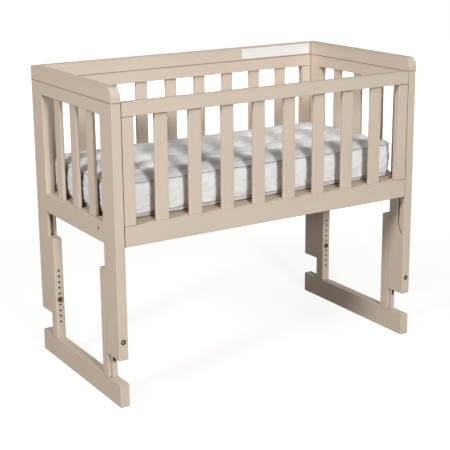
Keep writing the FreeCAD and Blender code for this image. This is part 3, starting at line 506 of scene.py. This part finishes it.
def bevel_edges(piece, choose, offset, segments):
    """Rounds the edges that choose(edge) picks."""
    activate(piece)
    bpy.ops.object.mode_set(mode="EDIT")
    bpy.ops.mesh.select_mode(type="EDGE")
    bpy.ops.mesh.select_all(action="DESELECT")
    mesh = bmesh.from_edit_mesh(piece.data)
    for edge in mesh.edges:
        edge.select_set(bool(choose(edge)))
    bmesh.update_edit_mesh(piece.data)
    bpy.ops.mesh.bevel(offset=offset, segments=segments, affect="EDGES")
    bpy.ops.object.mode_set(mode="OBJECT")


def apply_modifier(piece, kind, **values):
    activate(piece)
    bpy.ops.object.modifier_add(type=kind)
    made = piece.modifiers[-1]
    for key, value in values.items():
        setattr(made, key, value)
    bpy.ops.object.modifier_apply(modifier=made.name)


def points_of(piece):
    points = np.empty(len(piece.data.vertices) * 3)
    piece.data.vertices.foreach_get("co", points)
    return points.reshape(-1, 3)


def move_points(piece, points):
    piece.data.vertices.foreach_set("co", points.ravel())
    piece.data.update()


# ---------------------------------------------------------------- the mattress's shape
def soft(x, y, seed):
    """A smooth field, mostly between -0.5 and 0.5."""
    return noise.noise(Vector((x, y, seed)))


def ridge(x, y, seed):
    """Narrow creases that wander over a surface: 1 on a crease, 0 well away from it."""
    return (1 - min(1, 2.6 * abs(soft(x, y, seed)))) ** 2


def near(distance, width):
    """1 at no distance, and fading smoothly over about this width."""
    return np.exp(-(distance / width) ** 2)


class Outline:
    """The mattress's rounded outline at its seams, and the quilting inside it."""

    def __init__(self):
        make = setting("crib_mattress")
        low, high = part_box("mattress")
        self.centre = np.array([(low.x + high.x) / 2, (low.y + high.y) / 2])
        self.half = np.array([(high.x - low.x) / 2, (high.y - low.y) / 2])
        self.half -= COVER_INSET
        self.bottom = low.z
        self.seam = low.z + make.border_height
        self.foot_seam = low.z + FOOT_SEAM
        self.pitch = make.tuft_pitch
        self.bulge = make.end_bulge
        self.columns = int((high.x - low.x) / self.pitch) - 1
        self.rows = int((high.y - low.y) / self.pitch) - 1
        self.middle = ((self.columns - 1) / 2, (self.rows - 1) / 2)

    def inside(self, points):
        """How far each point lies inside the outline."""
        away = np.abs(points[:, :2] - self.centre) - (self.half - CORNER_RADIUS)
        beyond = np.linalg.norm(np.maximum(away, 0), axis=1)
        return CORNER_RADIUS - beyond - np.minimum(away.max(axis=1), 0)

    def wobble(self, points, seed):
        """The small rise and fall of a sewn seam."""
        return np.array([sum(height * soft(x * scale, y * scale, seed + step)
                             for height, scale, step in WOBBLES)
                         for x, y, *_ in points])

    def wave_distance(self, points):
        """Distance to the nearest waved line of quilting, through the tufts."""
        x, y = (points[:, :2] - self.centre).T
        turn = math.pi * (x / self.pitch - self.middle[0])
        slope = QUILT_SWING * math.pi / self.pitch * np.cos(turn)
        nearest = np.full(len(points), 1.0)
        for row in range(self.rows):
            swing = QUILT_SWING if row % 2 else -QUILT_SWING
            line = self.pitch * (row - self.middle[1]) + swing * np.sin(turn)
            nearest = np.minimum(nearest, np.abs(y - line) / np.sqrt(1 + slope ** 2))
        return nearest

    def tuft_distance(self, points):
        x, y = (points[:, :2] - self.centre).T
        column = np.clip(np.round(x / self.pitch + self.middle[0]), 0, self.columns - 1)
        row = np.clip(np.round(y / self.pitch + self.middle[1]), 0, self.rows - 1)
        return np.hypot(x - self.pitch * (column - self.middle[0]),
                        y - self.pitch * (row - self.middle[1]))

    def outward(self, points):
        """The way out of the border, level, and along the diagonal at a corner."""
        away = points[:, :2] - self.centre
        way = np.sign(away) * (np.abs(away) > self.half - CORNER_RADIUS)
        return way / np.maximum(np.linalg.norm(way, axis=1), 1e-6)[:, None]

    def let_out(self, points):
        """Bulges the two ends out towards the end slats, between the posts."""
        moved = points.copy()
        lengthwise = np.abs(points[:, 0]) - self.half[0]
        near_end = np.clip(lengthwise / BULGE_LENGTH + 1, 0, 1)
        between = np.clip((BULGE_HALF_WIDTH - np.abs(points[:, 1])) / BULGE_FADE, 0, 1)
        rise = np.clip((points[:, 2] - self.bottom) / BULGE_RISE, 0, 1)
        share = near_end * between * between * (3 - 2 * between) * rise
        moved[:, 0] += np.sign(points[:, 0]) * self.bulge * share
        return moved

    def ring(self, inset, count):
        """Points along the outline, evenly spaced, counterclockwise from the front."""
        half = self.half - inset
        straight = 2 * (half - CORNER_RADIUS)
        arc = CORNER_RADIUS * math.pi / 2
        runs = [straight[0], arc, straight[1], arc] * 2
        corners = [(1, -1), (1, 1), (-1, 1), (-1, -1)]
        points = []
        for step in range(count):
            left = sum(runs) * step / count
            for index, run in enumerate(runs):
                if left <= run:
                    break
                left -= run
            side, on_arc = divmod(index, 2)
            middle = self.centre + (half - CORNER_RADIUS) * corners[side]
            angle = math.pi / 2 * (side - 1) + (left / CORNER_RADIUS if on_arc else 0)
            point = middle + CORNER_RADIUS * np.array([math.cos(angle), math.sin(angle)])
            if not on_arc:
                way = np.array([-math.sin(angle), math.cos(angle)])
                point = point - way * (run - left)
            points.append(point)
        return np.array(points)


def swell_cloth(piece, pinned, limit):
    """Blows the cover up between its pinned seams, no further than the limit."""
    start = points_of(piece)
    group = piece.vertex_groups.new(name="sewn")
    for weight in (SEWN_WEIGHT, QUILTED_WEIGHT):
        group.add(np.flatnonzero(pinned == weight).tolist(), weight, "REPLACE")
    activate(piece)
    bpy.ops.object.modifier_add(type="CLOTH")
    cloth = piece.modifiers[-1]
    for key, value in CLOTH.items():
        setattr(cloth.settings, key, value)
    cloth.settings.vertex_group_mass = group.name
    cloth.settings.use_pressure = True
    cloth.settings.uniform_pressure_force = PRESSURE
    cloth.settings.effector_weights.gravity = 0
    cloth.collision_settings.use_collision = False
    scene = bpy.context.scene
    for step in range(SWELL_FRAMES):
        scene.frame_set(step + 1)
    bpy.ops.object.modifier_apply(modifier=cloth.name)
    scene.frame_set(1)
    moved = points_of(piece) - start
    length = np.linalg.norm(moved, axis=1)
    share = np.minimum(1, limit / np.maximum(length, 1e-9))
    move_points(piece, start + moved * share[:, None])
    piece.vertex_groups.clear()


def cut_cover(outline):
    """The plain cover: a block with round corners and a soft lower edge."""
    cover = add_block("mattress_cover",
                      (*(outline.centre - outline.half), outline.bottom),
                      (*(outline.centre + outline.half), outline.seam))

    def upright(edge):
        return abs(edge.verts[0].co.z - edge.verts[1].co.z) > 0.01

    def underneath(edge):
        return max(vert.co.z for vert in edge.verts) < outline.bottom + 0.001

    bevel_edges(cover, upright, CORNER_RADIUS, segments=8)
    bevel_edges(cover, underneath, UNDER_BEVEL, segments=3)
    apply_modifier(cover, "REMESH", mode="VOXEL", voxel_size=VOXEL)
    return cover


def quilt_cover(cover, outline):
    """Domes the top, sews its waves and tufts down, and lets the cloth swell."""
    make = setting("crib_mattress")
    points = points_of(cover)
    inside = outline.inside(points)
    top = points[:, 2] > outline.seam - 0.003
    edge = np.clip(inside / DOME_WIDTH, 0, 1)
    dome = make.crown * (1 - (1 - edge) ** DOME_CURVE)
    wave = outline.wave_distance(points)
    tuft = outline.tuft_distance(points)
    reach = np.clip((inside - QUILT_START) / QUILT_FADE, 0, 1)
    puff = np.clip(wave / PUFF_WIDTH, 0, 1)
    sewn = (make.quilt_depth * (1 - np.sqrt(puff * (2 - puff))) * reach
            + make.tuft_depth * near(tuft, TUFT_WIDTH))
    points[top, 2] += (dome - sewn)[top]
    rise = np.clip((points[:, 2] - outline.bottom) / make.border_height, 0, 1)
    points[:, 2] += outline.wobble(points, 3.0) * rise
    move_points(cover, points)

    on_border = inside < SEAM_HOLD
    at_seam = on_border & (np.abs(points[:, 2] - outline.seam) < SEAM_HOLD)
    at_foot_seam = on_border & (np.abs(points[:, 2] - outline.foot_seam) < FOOT_HOLD)
    underneath = points[:, 2] < outline.bottom + FOOT_HOLD
    pinned = np.zeros(len(points))
    pinned[top & (wave < LINE_HOLD) & (inside > QUILT_EDGE)] = QUILTED_WEIGHT
    pinned[at_seam | at_foot_seam | underneath | (top & (tuft < TUFT_HOLD))] = SEWN_WEIGHT
    swell_cloth(cover, pinned, np.where(top, make.swell, BORDER_SWELL))


def crease_cover(cover, outline):
    """Small folds: flat ones along the border, and gathers beside the seams."""
    points = points_of(cover)
    start = points.copy()
    inside = outline.inside(start)
    wave = outline.wave_distance(start)
    outward = outline.outward(start)
    height = (start[:, 2] - outline.bottom) / (outline.seam - outline.bottom)
    border = np.clip(1 - inside / 0.012, 0, 1) * (height < 1.02)
    at_seam = near(height - 1, SEAM_ZONE)
    at_foot = near(height - FOOT_ZONE, SEAM_ZONE)
    gather = near(inside, GATHER_WIDTH)
    line = near(wave, LINE_WIDTH) * (inside > QUILT_EDGE)
    beside = near(wave, PUCKER_WIDTH) * (inside > QUILT_EDGE)
    for index, (x, y, z) in enumerate(start):
        along = x + y
        if border[index] > 0:
            if z < outline.bottom + 0.003:
                continue
            folds = BORDER_ROLL * soft(along * 10, z * 30, 1.5)
            folds -= BORDER_SLANT * ridge(along * 24 + z * 30, z * 55 - along * 9, 7.7)
            folds -= BORDER_FOOT * at_foot[index] * ridge(along * 17, z * 62, 9.1)
            folds -= BORDER_GATHER * at_seam[index] * ridge(along * 75, z * 22, 4.2)
            folds += BORDER_PUCKER * at_foot[index] * soft(along * 90, z * 40, 5.1)
            points[index, :2] += outward[index] * folds * border[index]
        elif z > outline.seam - 0.004:
            drop = TOP_GATHER * gather[index] * ridge(x * 55, y * 55, 2.2)
            drop += TOP_LINE * line[index]
            drop += TOP_PUCKER * beside[index] * ridge(x * 50, y * 20, 3.3)
            drop += TOP_WRINKLE * ridge(x * 19, y * 34, 6.4)
            points[index, 2] -= drop
    move_points(cover, points)


def mark_stitches(cover, outline):
    """Writes where the quilting's thread lies, for the cloth's colour."""
    points = points_of(cover)
    on_top = points[:, 2] > outline.seam - 0.006
    mark = (near(outline.wave_distance(points), THREAD_WIDTH) * on_top
            * (outline.inside(points) > QUILT_EDGE))
    layer = cover.data.attributes.new(STITCHES, "FLOAT", "POINT")
    layer.data.foreach_set("value", mark.astype(np.float32))


def sew_cover(outline):
    """The mattress's cover: border, quilted top with tufts, and creases at the seams."""
    cover = cut_cover(outline)
    quilt_cover(cover, outline)
    apply_modifier(cover, "SUBSURF", levels=1, render_levels=1)
    crease_cover(cover, outline)
    mark_stitches(cover, outline)
    move_points(cover, outline.let_out(points_of(cover)))
    activate(cover)
    bpy.ops.object.shade_smooth()
    return cover


def sew_piping(name, outline, height, inset, seed):
    """A cord of piping all round one seam: a ring laid on the seam and given its body."""
    make = setting("crib_mattress")
    bpy.ops.object.select_all(action="DESELECT")
    bpy.ops.mesh.primitive_circle_add(vertices=PIPING_POINTS, radius=0.3)
    ring = bpy.context.object
    ring.name = name
    path = outline.ring(inset, PIPING_POINTS)
    rise = (height - outline.bottom) / make.border_height
    level = height + outline.wobble(path, seed) * max(rise, 0.5)
    move_points(ring, outline.let_out(np.column_stack([path, level])))
    bpy.ops.object.convert(target="CURVE")
    ring.data.bevel_depth = make.piping_radius
    ring.data.bevel_resolution = 2
    bpy.ops.object.convert(target="MESH")
    bpy.ops.object.shade_smooth()
    return ring


# ---------------------------------------------------------------- the stage
def lay_floor():
    """A pale floor that looks white to the camera and keeps a soft shadow."""
    bpy.ops.object.select_all(action="DESELECT")
    bpy.ops.mesh.primitive_circle_add(vertices=96, radius=40, fill_type="NGON")
    floor = bpy.context.object
    floor.name = "studio_floor"
    finish = Finish("studio_floor")
    rays = finish.add("LightPath").outputs
    seen = finish.math("MAXIMUM", rays["Is Camera Ray"], rays["Is Glossy Ray"])
    seen = finish.math("MAXIMUM", seen, rays["Is Transmission Ray"])
    here = finish.add("TexCoord").outputs["Object"]
    length = finish.add("VectorMath", {0: here}, operation="LENGTH").outputs["Value"]
    glow = finish.spread(length, 0.84, 1.0, low=0.9, high=2.6)
    white = finish.add("Emission", Color=WHITE, Strength=finish.math("MULTIPLY", seen, glow))
    matte = finish.add("BsdfDiffuse", Color=(0.28, 0.27, 0.26, 1))
    both = finish.add("AddShader", {0: matte.outputs[0], 1: white.outputs[0]})
    finish.feed(finish.output, "Surface", both.outputs[0])
    floor.data.materials.append(finish.material)


def set_world():
    """Little light from all round, and white where the camera or a reflection sees it."""
    world = bpy.data.worlds.new("studio")
    bpy.context.scene.world = world
    world.use_nodes = True
    graph = Graph(world.node_tree)
    rays = graph.add("LightPath").outputs
    seen = graph.math("MAXIMUM", rays["Is Camera Ray"], rays["Is Glossy Ray"])
    strength = graph.spread(seen, setting("crib_studio").ambient, 1.0, low=0, high=1)
    graph.feed(graph.nodes["Background"], "Strength", strength)
    graph.feed(graph.nodes["Background"], "Color", WHITE)


def hang_lights():
    for name, values in LAMPS.items():
        light = bpy.data.lights.new(f"studio_{name}", "AREA")
        light.shape = "DISK"
        light.size = values["size"]
        light.energy = getattr(setting("crib_studio"), f"{name}_power")
        light.color = values["colour"]
        lamp = bpy.data.objects.new(light.name, light)
        bpy.context.scene.collection.objects.link(lamp)
        lamp.location = values["place"]
        lamp.rotation_euler = (LOOK_AT - lamp.location).to_track_quat("-Z", "Y").to_euler()
        lamp.visible_glossy = name != "back"


def set_camera():
    """The camera at the picture's viewing angle."""
    camera = bpy.data.cameras.new("studio_camera")
    camera.sensor_width = 36
    camera.lens = setting("crib_studio").lens
    camera.shift_y = CAMERA_SHIFT
    camera.clip_end = 200
    stand = bpy.data.objects.new("studio_camera", camera)
    bpy.context.scene.collection.objects.link(stand)
    turn = (Matrix.Rotation(CAMERA_YAW, 4, "Z")
            @ Matrix.Rotation(math.pi / 2 - CAMERA_PITCH, 4, "X")
            @ Matrix.Rotation(CAMERA_ROLL, 4, "Z"))
    stand.matrix_world = Matrix.Translation(CAMERA_PLACE) @ turn
    bpy.context.scene.camera = stand


# ---------------------------------------------------------------- operators
class CRIB_OT_paint_wood(bpy.types.Operator):
    """Paint the posts, rails, slats, caps and feet"""
    bl_idname = "crib.paint_wood"
    bl_label = "Paint Wood"

    def execute(self, context):
        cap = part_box("cap_left")[0].z
        ends = [corner.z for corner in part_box("front_stile_left")]
        dress(ALONG_X, painted_wood("paint_along_x", "X"))
        dress(ALONG_Y, painted_wood("paint_along_y", "Y", [cap]))
        dress(ALONG_Z, painted_wood("paint_along_z", "Z"))
        dress(STILES, painted_wood("paint_stile", "Z", ends))
        dress(POSTS, painted_wood("paint_post", "Z", [cap]))
        dress(["rear_upper_board", "rear_top_rail"], painted_wood("paint_rear", "X", [cap]))
        return {"FINISHED"}


class CRIB_OT_finish_base(bpy.types.Operator):
    """Give the base board and the dowels their bare wood"""
    bl_idname = "crib.finish_base"
    bl_label = "Finish Base Board"

    def execute(self, context):
        board = bare_wood("base_plywood", (0.60, 0.48, 0.36), (0.50, 0.38, 0.26),
                          ply=0.0032)
        beech = bare_wood("dowel_beech", (0.58, 0.40, 0.22), (0.46, 0.30, 0.15))
        dress(["base_board"], board)
        dress(["crib_dowels", "front_dowels"], beech)
        return {"FINISHED"}


class CRIB_OT_finish_metal(bpy.types.Operator):
    """Finish the bolts, screws, nuts and pins"""
    bl_idname = "crib.finish_metal"
    bl_label = "Finish Metal"

    def execute(self, context):
        choice = setting("crib_metal")
        low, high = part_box("lock_bolt_front_right")
        antique = metal("antique_brass", choice.antique_brass, (0.06, 0.032, 0.020),
                        roughness=0.36, socket=((low.x + high.x) / 2, (low.z + high.z) / 2))
        bronze = metal("dark_bronze", (0.20, 0.085, 0.055), (0.10, 0.04, 0.028),
                       roughness=0.34)
        bright = metal("bright_brass", choice.bright_brass, (0.20, 0.13, 0.05),
                       roughness=0.26)
        steel = metal("plated_steel", choice.steel, (0.36, 0.37, 0.38), roughness=0.32,
                      brushed=True)
        dress(LOCK_BOLTS, antique)
        dress(["index_screws_left", "index_screws_right"], bronze)
        dress(["base_bolts"], bright)
        dress(["barrel_nuts", "batten_screws", "front_guide_pins"], steel)
        return {"FINISHED"}


class CRIB_OT_finish_label(bpy.types.Operator):
    """Finish the blank label on the rear upper board"""
    bl_idname = "crib.finish_label"
    bl_label = "Finish Blank Label"

    def execute(self, context):
        dress(["blank_label"], label_film("label_film"))
        return {"FINISHED"}


class CRIB_OT_sew_mattress(bpy.types.Operator):
    """Sew the mattress: its quilted cover and the piping in both seams"""
    bl_idname = "crib.sew_mattress"
    bl_label = "Sew Mattress"

    def execute(self, context):
        outline = Outline()
        cover = sew_cover(outline)
        cover.data.materials.clear()
        cover.data.materials.append(mattress_cloth("quilted_cotton"))
        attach(cover, "bedding")
        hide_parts("mattress")
        tape = piping_cloth("piping_tape")
        for name, height, inset, seed in (
                ("mattress_piping_top", outline.seam, -0.0006, 3.0),
                ("mattress_piping_bottom", outline.foot_seam, -0.0003, 11.0)):
            piping = sew_piping(name, outline, height, inset, seed)
            piping.data.materials.append(tape)
            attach(piping, "bedding")
        return {"FINISHED"}


class CRIB_OT_set_stage(bpy.types.Operator):
    """Set the floor, the lights and the camera"""
    bl_idname = "crib.set_stage"
    bl_label = "Set Stage"

    def execute(self, context):
        lay_floor()
        set_world()
        hang_lights()
        set_camera()
        return {"FINISHED"}


STEPS = (CRIB_OT_paint_wood, CRIB_OT_finish_base, CRIB_OT_finish_metal,
         CRIB_OT_finish_label, CRIB_OT_sew_mattress, CRIB_OT_set_stage)
SETTINGS = {"crib_paint": PaintFinish, "crib_metal": MetalFinish,
            "crib_mattress": MattressMake, "crib_studio": StudioSetup}


class CRIB_PT_build(bpy.types.Panel):
    """Lists the crib's steps and sizes"""
    bl_idname = "CRIB_PT_build"
    bl_label = "Bedside Crib"
    bl_space_type = "VIEW_3D"
    bl_region_type = "UI"
    bl_category = "Crib"

    def draw(self, context):
        for step in STEPS:
            self.layout.operator(step.bl_idname)
        for name, group in SETTINGS.items():
            box = self.layout.box()
            for field in group.__annotations__:
                box.prop(getattr(context.scene, name), field)


def register():
    for item in (*SETTINGS.values(), *STEPS, CRIB_PT_build):
        bpy.utils.register_class(item)
    for name, group in SETTINGS.items():
        setattr(bpy.types.Scene, name, bpy.props.PointerProperty(type=group))


def unregister():
    for name in SETTINGS:
        delattr(bpy.types.Scene, name)
    for item in reversed((*SETTINGS.values(), *STEPS, CRIB_PT_build)):
        bpy.utils.unregister_class(item)


def main():
    register()
    bpy.ops.crib.paint_wood()
    bpy.ops.crib.finish_base()
    bpy.ops.crib.finish_metal()
    bpy.ops.crib.finish_label()
    bpy.ops.crib.sew_mattress()
    bpy.ops.crib.set_stage()
    bpy.context.scene.view_settings.view_transform = "Standard"


if __name__ == "__main__":
    main()
